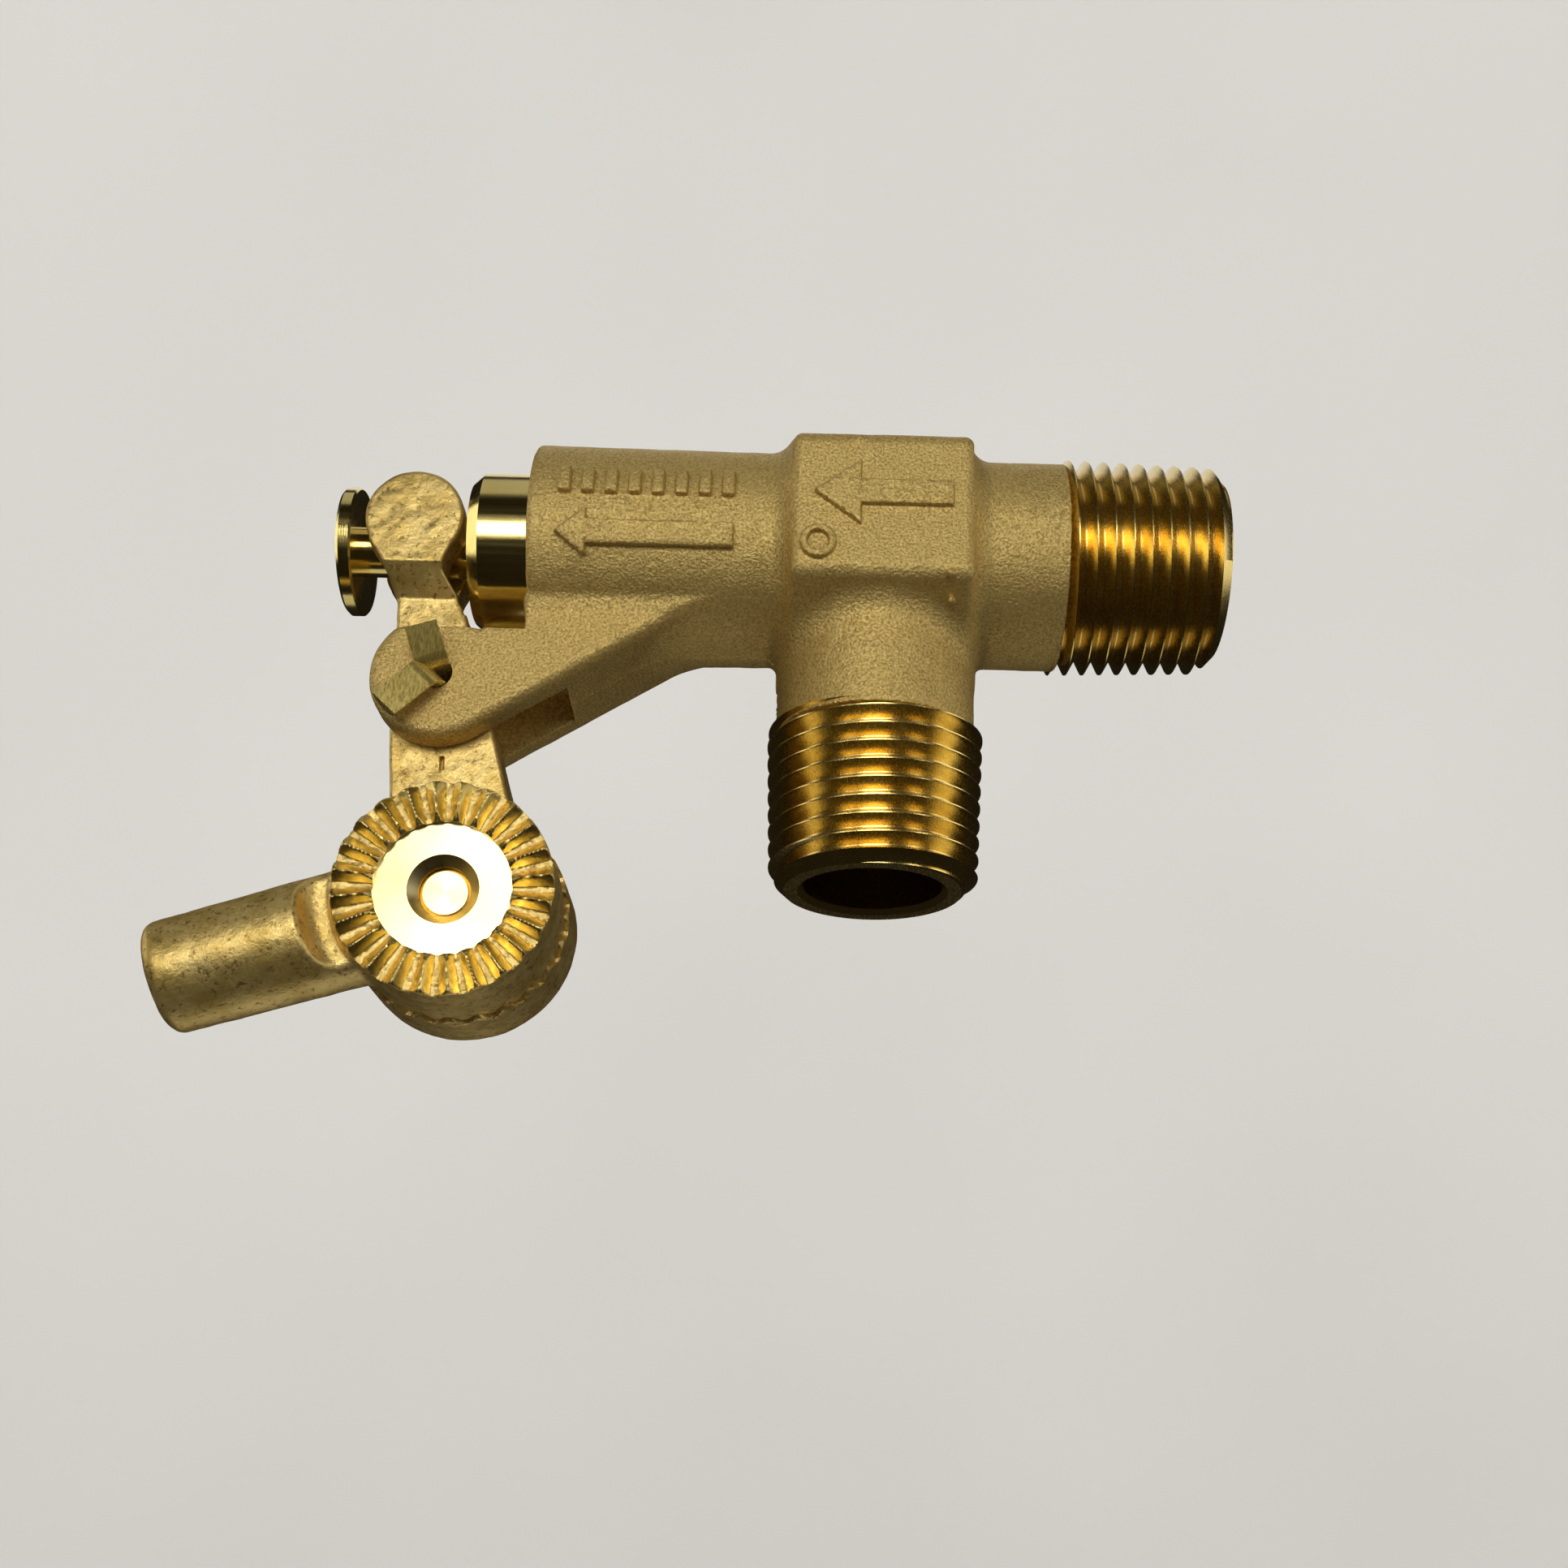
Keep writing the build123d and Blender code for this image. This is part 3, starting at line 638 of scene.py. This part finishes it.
PITCH = 25.4 / 14
THREAD_DEPTH = 0.8 * PITCH
TAPER = 1 / 32
THREAD_END_RADIUS = 10.36
NOSE_RADIUS = 8.85
NOSE = 1.4
THREAD_FLAT = 0.12                  # the width of the crests and of the groove's foot
GROOVE_START = -1.2                 # the groove's first centre, in pitches from the shoulder
STEPS = 240


def thread_rod(name, place, along, side, phase):
    """A closed rod with a helical groove that runs out at the shoulder. side is where the
    groove's angle is counted from, and phase turns the groove round, in degrees."""
    along, side = Vector(along), Vector(side)
    up = along.cross(side)
    root_radius = THREAD_END_RADIUS + THREAD_LENGTH * TAPER
    crest, root = (PITCH - THREAD_FLAT) / 2, THREAD_FLAT / 2
    marks = (-crest, -root, root, crest)
    rows = 4 * (int(THREAD_LENGTH / PITCH) + 5)
    def vertex(row, i):
        angle = 2 * math.pi * i / STEPS
        centre = PITCH * (GROOVE_START + row // 4 + i / STEPS)
        height = centre + marks[row % 4]
        radius = root_radius - height * TAPER
        if row % 4 in (1, 2):
            radius -= THREAD_DEPTH
        turn = angle + math.radians(phase)
        return Vector(place) + along * height + (side * math.cos(turn) + up * math.sin(turn)) * radius
    points = [vertex(row, i) for row in range(rows) for i in range(STEPS)]
    points += [vertex(rows + extra, 0) for extra in range(4)]
    def number(row, i):
        if i == STEPS:
            row, i = row + 4, 0
        return row * STEPS + i if row < rows else rows * STEPS + row - rows
    last = rows - 1
    faces = [[number(m, i), number(m, i + 1), number(m + 1, i + 1), number(m + 1, i)]
             for m in range(last) for i in range(STEPS)]
    low_loop = [number(0, i) for i in range(STEPS, -1, -1)] + [number(m, 0) for m in (1, 2, 3)]
    top_loop = [number(last, i) for i in range(STEPS + 1)] + [number(last + m, 0) for m in (3, 2, 1)]
    for loop, end in ((low_loop, -2 * PITCH), (top_loop, THREAD_LENGTH + 2 * PITCH)):
        centre = len(points)
        points.append(Vector(place) + along * end)
        faces += [[centre, a, b] for a, b in zip(loop, loop[1:] + loop[:1])]
    rod = mesh_object(name, points, faces, TURNED_SLOT)
    wide = root_radius + 1
    steep = NOSE * (wide - NOSE_RADIUS) / (THREAD_END_RADIUS - NOSE_RADIUS)
    envelope = lathe("envelope", [(-0.5, wide), (THREAD_LENGTH - steep, wide),
                                  (THREAD_LENGTH, NOSE_RADIUS)], place, along)
    combine(rod, envelope, "INTERSECT")
    return rod


# ---------------------------------------------------------------- whole castings

BORE_RADIUS = 8.3                   # the plunger's bore
BORE_EDGE = 0.4
CHAMBER_END = 9.0
NOZZLE_FOOT = 6.0
NOZZLE_FACE = 7.32
NOZZLE_RADIUS = 5.4
ORIFICE_RADIUS = 4.75
ORIFICE_END = 11.5
INLET_START = 13.0
INLET_BORE = 6.6
OUTLET_BORE = 6.9
MOUTH_EDGE = 0.55
PIN_HOLE = 1.67
THROUGH = 9                         # half the length of the tools that drill right through


def drill(name, radius, place):
    """A tool that cuts a round hole right through, along y."""
    return lathe(name, [(-THROUGH, radius), (THROUGH, radius)], tuple(place), (0, 1, 0), steps=64)


def make_body():
    points, quads = surface_of(casting_field, low=(-51.5, -15, -24.5), high=(20, 15, 15.5),
                               step=0.22)
    body = mesh_object("body_casting", points, quads)
    inlet = thread_rod("inlet", (NECK_END, 0, 0), along=(1, 0, 0), side=(0, 0, -1), phase=-117)
    combine(body, inlet, "UNION")
    outlet = thread_rod("outlet", (0, 0, TUBE_END), along=(0, 0, -1), side=(1, 0, 0), phase=53)
    combine(body, outlet, "UNION")
    chamber = [(-40, BORE_RADIUS + BORE_EDGE), (BARREL_END, BORE_RADIUS + BORE_EDGE),
               (BARREL_END + BORE_EDGE, BORE_RADIUS), (CHAMBER_END, BORE_RADIUS),
               (CHAMBER_END, NOZZLE_FOOT), (NOZZLE_FACE, NOZZLE_RADIUS),
               (NOZZLE_FACE, ORIFICE_RADIUS), (ORIFICE_END, ORIFICE_RADIUS),
               (INLET_START, INLET_BORE), (INLET_END - MOUTH_EDGE, INLET_BORE),
               (INLET_END, INLET_BORE + MOUTH_EDGE), (INLET_END + 1, INLET_BORE + MOUTH_EDGE)]
    combine(body, lathe("chamber", chamber, (0, 0, 0), (1, 0, 0)), "DIFFERENCE")
    drop = -OUTLET_END
    drain = [(0, OUTLET_BORE), (drop - MOUTH_EDGE, OUTLET_BORE), (drop, OUTLET_BORE + MOUTH_EDGE),
             (drop + 1, OUTLET_BORE + MOUTH_EDGE)]
    combine(body, lathe("drain", drain, (0, 0, 0), (0, 0, -1)), "DIFFERENCE")
    combine(body, drill("pin", PIN_HOLE, PIVOT), "DIFFERENCE")
    return body


HUB_RADIUS = 10.8
TOOTH_SLOPE = 0.7                   # brings the serrations' field nearer to a true distance
LEVER_HALF = 3.75
TOOTH = 1.15
TIPS = -LEVER_HALF - TOOTH / 2      # the height in y of the serrations' crests
TOOTH_COUNT = 24
CREST = 0.22                        # half widths of the mating crests and valleys at the rim
VALLEY = 0.26
RECESS_RADIUS = 6.6
RECESS_DEPTH = 0.15                 # below the serrations' feet
FORK_EYE = (-47.1, 1.1)
FORK_EYE_RADIUS = 5.0
FORK_SWELL = 2.45                   # how much wider the fork is than the shank on each side
SWELL_START = -7.0
SWELL_LENGTH = 3.0
SWELL_SLOPE = 0.775                 # brings the swelling's field back to a true distance
TINE_GAP = 2.8                      # half the gap between the tines
GAP_FOOT = -2.8


def teeth(x, z, rim, phase, crest, valley):
    """How deep the serrations' grooves are at a place on a face around the joint, from 0 to 1."""
    dx, dz = x - JOINT[0], z - JOINT[2]
    radius = np.hypot(dx, dz)
    turn = np.arctan2(dz, dx) * TOOTH_COUNT / (2 * math.pi) + phase
    spread = np.abs(turn - np.round(turn)) * 2 * math.pi / TOOTH_COUNT * radius
    top = math.pi / TOOTH_COUNT * radius - crest * radius / rim
    foot = valley * radius / rim
    return np.clip((top - spread) / np.maximum(top - foot, 0.1), 0, 1)


FORK_NECK = [(-51.2, -1.7), (-49.4, -5.2), (-48.65, -7.4), (-48.6, -9.5), (-41.4, -9.5),
             (-42.7, -6.4), (-43.9, -4.6), (-43.6, -2.4), (-47.1, 1.1)]
SHANK = [(-48.62, -8.5), (-48.3, -23), (-47.8, -28.5), (-46.5, -33), (-34, -33), (-35.9, -28.6),
         (-37.9, -21.5), (-39.8, -16.0), (-41.6, -8.5)]


def lever_field(x, y, z):
    eye = np.hypot(x - FORK_EYE[0], z - FORK_EYE[1]) - FORK_EYE_RADIUS
    outline = join_round(polygon_2d(x, z, FORK_NECK), eye, 0.8)
    outline = np.minimum(outline, polygon_2d(x, z, SHANK))
    half = LEVER_HALF + FORK_SWELL * np.clip((z - SWELL_START) / SWELL_LENGTH, 0, 1)
    lever = cut_round(outline, (np.abs(y) - half) * SWELL_SLOPE, 0.4)
    across = np.hypot(x - JOINT[0], z - JOINT[2])
    hub = cut_round(across - HUB_RADIUS, y - LEVER_HALF, 0.9)
    hub = cut_round(hub, TIPS - y, 0.6)
    lever = join_round(lever, hub, 1.2)
    gap = np.where(z > GAP_FOOT, np.abs(y), np.hypot(y, z - GAP_FOOT)) - TINE_GAP
    lever = cut_round(lever, -gap, 0.3)
    dent = np.maximum(np.abs(x + 42.9) - 0.22, np.abs(z + 24.7) - 0.75)
    lever = np.maximum(lever, -np.maximum(dent, y + LEVER_HALF - 0.7))
    lever = lever + 0.05 * rough(x, y, z, 2.1, 5) + 0.03 * rough(x, y, z, 0.8, 6)
    deep = teeth(x, z, HUB_RADIUS, 0.5, CREST, VALLEY)
    face = (TIPS + TOOTH * deep - y) * TOOTH_SLOPE
    return np.where(across < HUB_RADIUS + 0.6, np.maximum(lever, face), lever)


LEVER_HOLE = 2.5


def make_lever():
    points, quads = surface_of(lever_field, low=(-53, -6.8, -52), high=(-28, 6.8, 6.8), step=0.18)
    lever = mesh_object("lever_casting", points, quads, cast=FORGED)
    recess = [(-THROUGH, RECESS_RADIUS), (TIPS + TOOTH + RECESS_DEPTH, RECESS_RADIUS)]
    combine(lever, lathe("recess", recess, tuple(JOINT), (0, 1, 0), steps=96), "DIFFERENCE")
    combine(lever, drill("hole", LEVER_HOLE, JOINT), "DIFFERENCE")
    combine(lever, drill("pin", PIN_HOLE, PIVOT), "DIFFERENCE")
    return lever


STEM_DOWN = math.radians(17.6)
STEM_WAY = (-math.cos(STEM_DOWN), 0, -math.sin(STEM_DOWN))
STEM_LENGTH = 28.0
STEM_Y = -8.0
ARM_RADIUS = 10.4
ARM_FRONT = -12.9
ARM_BACK = TIPS + TOOTH - 0.04
ARM_SPOT = -11.8
FRONT_TOOTH = 0.9
FRONT_CREST = 0.06
FRONT_VALLEY = 0.36
TEETH_START = 6.2                   # the front serrations keep off the spot face inside this radius
TEETH_FOOT = 0.97                   # deeper than this, a place is on a valley's floor
STEM_RADIUS = 5.75
STEM_TAPER = 0.4
STEM_EDGE = 1.3
STEM_CLEAR = 0.15                   # the stem's back stays this far from the lever's face
RELIEF_RADIUS = 13.3                # the stem is cut down round the hub as far as this
RELIEF_Y = -11.15
SPOT_RADIUS = 6.46
SCREW_HOLE = 2.45
SCREW_MOUTH = 3.38
SCREW_EDGE = 0.9
SOCKET_RADIUS = 2.55
SOCKET_EDGE = 0.7


def front_teeth(x, z):
    return teeth(x, z, ARM_RADIUS, 0, FRONT_CREST, FRONT_VALLEY)


def arm_field(x, y, z):
    dx, dz = x - JOINT[0], z - JOINT[2]
    along = dx * STEM_WAY[0] + dz * STEM_WAY[2]
    aside = dx * STEM_WAY[2] - dz * STEM_WAY[0]
    stem = np.hypot(aside, y - STEM_Y) - (STEM_RADIUS - STEM_TAPER * along / STEM_LENGTH)
    stem = cut_round(stem, along - STEM_LENGTH, STEM_EDGE)
    stem = np.maximum(stem, -along)
    stem = cut_round(stem, y + LEVER_HALF + STEM_CLEAR, 0.6)
    across = np.hypot(dx, dz)
    relief = cut_round(across - RELIEF_RADIUS, y - RELIEF_Y, 1.9)
    stem = cut_round(stem, -relief, 0.5)
    hub = cut_round(across - ARM_RADIUS, ARM_FRONT - y, 0.55)
    hub = np.maximum(hub, y - ARM_BACK)
    arm = join_round(stem, hub, 0.7)
    arm = arm + 0.05 * rough(x, y, z, 1.9, 8) + 0.02 * rough(x, y, z, 0.7, 9)
    deep = np.where(across > TEETH_START, front_teeth(x, z), 0)
    inner = 0.55 * np.clip(7.3 - across, 0, 1)
    front = (ARM_FRONT + np.maximum(FRONT_TOOTH * deep, inner) - y) * TOOTH_SLOPE
    front = front + 0.05 * rough(x, y, z, 0.5, 10) * (deep > TEETH_FOOT)
    back = (y - ARM_BACK + TOOTH * teeth(x, z, ARM_RADIUS, 0, CREST, VALLEY)) * TOOTH_SLOPE
    arm = np.where(across < ARM_RADIUS + 0.1, np.maximum(arm, front), arm)
    return np.where(across < ARM_RADIUS + 0.6, np.maximum(arm, back), arm)


def make_arm():
    points, quads = surface_of(arm_field, low=(-70, -15, -56), high=(-28, -1.5, -28), step=0.16)
    arm = mesh_object("arm_casting", points, quads, cast=FORGED)
    place = (JOINT[0], 0, JOINT[2])
    front = [(-20, SPOT_RADIUS), (ARM_SPOT, SPOT_RADIUS), (ARM_SPOT, SCREW_MOUTH),
             (ARM_SPOT + SCREW_EDGE, SCREW_HOLE), (5, SCREW_HOLE)]
    combine(arm, lathe("spot", front, place, (0, 1, 0), steps=128), "DIFFERENCE")
    recess = [(ARM_BACK - TOOTH - RECESS_DEPTH, RECESS_RADIUS), (5, RECESS_RADIUS)]
    combine(arm, lathe("recess", recess, place, (0, 1, 0), steps=96), "DIFFERENCE")
    end = [JOINT[0] + STEM_WAY[0] * STEM_LENGTH, STEM_Y, JOINT[2] + STEM_WAY[2] * STEM_LENGTH]
    socket = [(-15, SOCKET_RADIUS), (-SOCKET_EDGE, SOCKET_RADIUS), (0, SOCKET_RADIUS + SOCKET_EDGE),
              (2, SOCKET_RADIUS + SOCKET_EDGE)]
    combine(arm, lathe("socket", socket, end, STEM_WAY, steps=64), "DIFFERENCE")
    return arm


def faces_where(thing, test, slot):
    """Gives the faces whose centres pass the test another material slot."""
    centres = np.empty(len(thing.data.polygons) * 3)
    thing.data.polygons.foreach_get("center", centres)
    x, y, z = (centres.reshape(-1, 3) / MM - (OUTLET_X, 0, 0)).T
    slots = np.empty(len(x), np.int32)
    thing.data.polygons.foreach_get("material_index", slots)
    slots[test(x, y, z, slots)] = slot
    thing.data.polygons.foreach_set("material_index", slots)


FLANKS = (6.4, 10.25)               # the radii between which the flanks are coined
FACED_RADIUS = 6.6                  # a little wider than the spot face
FACED_BACK = -9                     # what lies behind this isn't faced


def coined(x, y, z, slots):
    """The smooth flanks of the front serrations."""
    across = np.hypot(x - JOINT[0], z - JOINT[2])
    deep = front_teeth(x, z)
    in_ring = (across > FLANKS[0]) & (across < FLANKS[1]) & (y < ARM_SPOT)
    return (slots == CAST_SLOT) & in_ring & (deep > 0) & (deep < TEETH_FOOT)


def faced(x, y, z, slots):
    """The machined ring around the screw's end."""
    across = np.hypot(x - JOINT[0], z - JOINT[2])
    return (slots == TURNED_SLOT) & (across < FACED_RADIUS) & (y < FACED_BACK)


def smooth(thing, degrees=35):
    thing.data.polygons.foreach_set("use_smooth", [True] * len(thing.data.polygons))
    thing.data.set_sharp_from_angle(angle=math.radians(degrees))


def thin_out(thing, most=190000):
    """Fewer triangles where the surface is flat or evenly curved."""
    count = sum(len(p.vertices) - 2 for p in thing.data.polygons)
    if count > most:
        change = thing.modifiers.new("thin", "DECIMATE")
        change.ratio = most / count
        apply_all(thing)


def show(piece, body, *nodes):
    thin_out(piece)
    smooth(piece)
    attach(piece, body)
    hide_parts(*nodes)


STAGE_RADIUS = 1.1
STAGE_FLOOR = -0.65
STAGE_BEND = 0.5
STAGE_WALL = 0.4                    # the height where the wall ends and the round ceiling starts


def make_stage():
    """A pale floor that curves up all round into a closed pale room. Brass doesn't reflect it."""
    turns = np.linspace(0, math.pi / 2, 16)
    inner = STAGE_RADIUS - STAGE_BEND
    line = [(0.0, STAGE_FLOOR)]
    line += [(inner + STAGE_BEND * math.sin(a), STAGE_FLOOR + STAGE_BEND * (1 - math.cos(a)))
             for a in turns]
    line += [(STAGE_RADIUS * math.cos(a), STAGE_WALL + STAGE_RADIUS * math.sin(a)) for a in turns[:-1]]
    line.append((0.0, STAGE_WALL + STAGE_RADIUS))
    sides = np.linspace(0, 2 * math.pi, 96, endpoint=False)
    points = [(r * math.cos(a), r * math.sin(a), z) for r, z in line for a in sides]
    count = len(sides)
    faces = [[i * count + j, i * count + (j + 1) % count, (i + 1) * count + (j + 1) % count,
              (i + 1) * count + j] for i in range(len(line) - 1) for j in range(count)]
    mesh = bpy.data.meshes.new("floor")
    mesh.from_pydata(points, [], faces)
    mesh.polygons.foreach_set("use_smooth", [True] * len(faces))
    mesh.materials.append(studio_paint())
    floor = link(bpy.data.objects.new("floor", mesh))
    floor.visible_glossy = False


# name, azimuth (0 is the front, 90 the inlet's side), elevation, width, height, watts
LIGHTS = (("key", 0, 12, 0.3, 0.2, 1.1),
          ("left", -30, 5, 0.15, 0.2, 0.4),
          ("right", 50, 5, 0.15, 0.2, 0.3),
          ("top", 0, 85, 0.4, 0.4, 0.2),
          ("side_left", -90, 20, 0.3, 0.4, 0.5),
          ("side_right", 90, 10, 0.3, 0.4, 0.5),
          ("back", 180, 50, 0.4, 0.3, 0.3),
          ("under_back", 180, -55, 0.4, 0.3, 0.25))
LIGHT_DISTANCE = 0.6
ROOM_WATTS = 14
ROOM_PLACE = (0, 0, 1.3)
ROOM_TARGET = (0, 0.02, 0)          # a little off straight down
WORLD_COLOUR = (0.012, 0.010, 0.007, 1)


def make_lights():
    middle = (cad_box[0] + cad_box[1]) / 2
    for name, azimuth, elevation, width, height, watts in LIGHTS:
        a, e = math.radians(azimuth), math.radians(elevation)
        way = Vector((math.sin(a) * math.cos(e), -math.cos(a) * math.cos(e), math.sin(e)))
        lamp = soft_box(name, middle + LIGHT_DISTANCE * way, middle, (width, height), watts)
        lamp.visible_camera = False
    room = soft_box("room", ROOM_PLACE, ROOM_TARGET, (1, 1), ROOM_WATTS)
    room.visible_camera = room.visible_glossy = False
    world = bpy.data.worlds.new("world")
    world.use_nodes = True
    world.node_tree.nodes["Background"].inputs["Color"].default_value = WORLD_COLOUR
    bpy.context.scene.world = world


def main_scene():
    make_camera()
    bpy.context.scene.view_settings.view_transform = "Standard"
    for make, body, node in ((make_body, "body", "valve_body"), (make_lever, "lever", "fork_lever"),
                             (make_arm, "arm", "stem_arm")):
        piece = make()
        show(piece, body, node)
        if node == "stem_arm":
            faces_where(piece, coined, COINED_SLOT)
            faces_where(piece, faced, FACED_SLOT)
    dress = {"plunger": plunger_brass(), "seat_disc": rubber(), "pivot_cotter": pin_brass(),
             "joint_screw": FACED, "joint_lock_washer": TURNED}
    dress["plunger_o_ring"] = dress["seat_disc"]
    for name, thing in frame["nodes"].items():
        thing.data.materials.clear()
        thing.data.materials.append(dress.get(name, CAST))
    make_stage()
    make_lights()


main_scene()
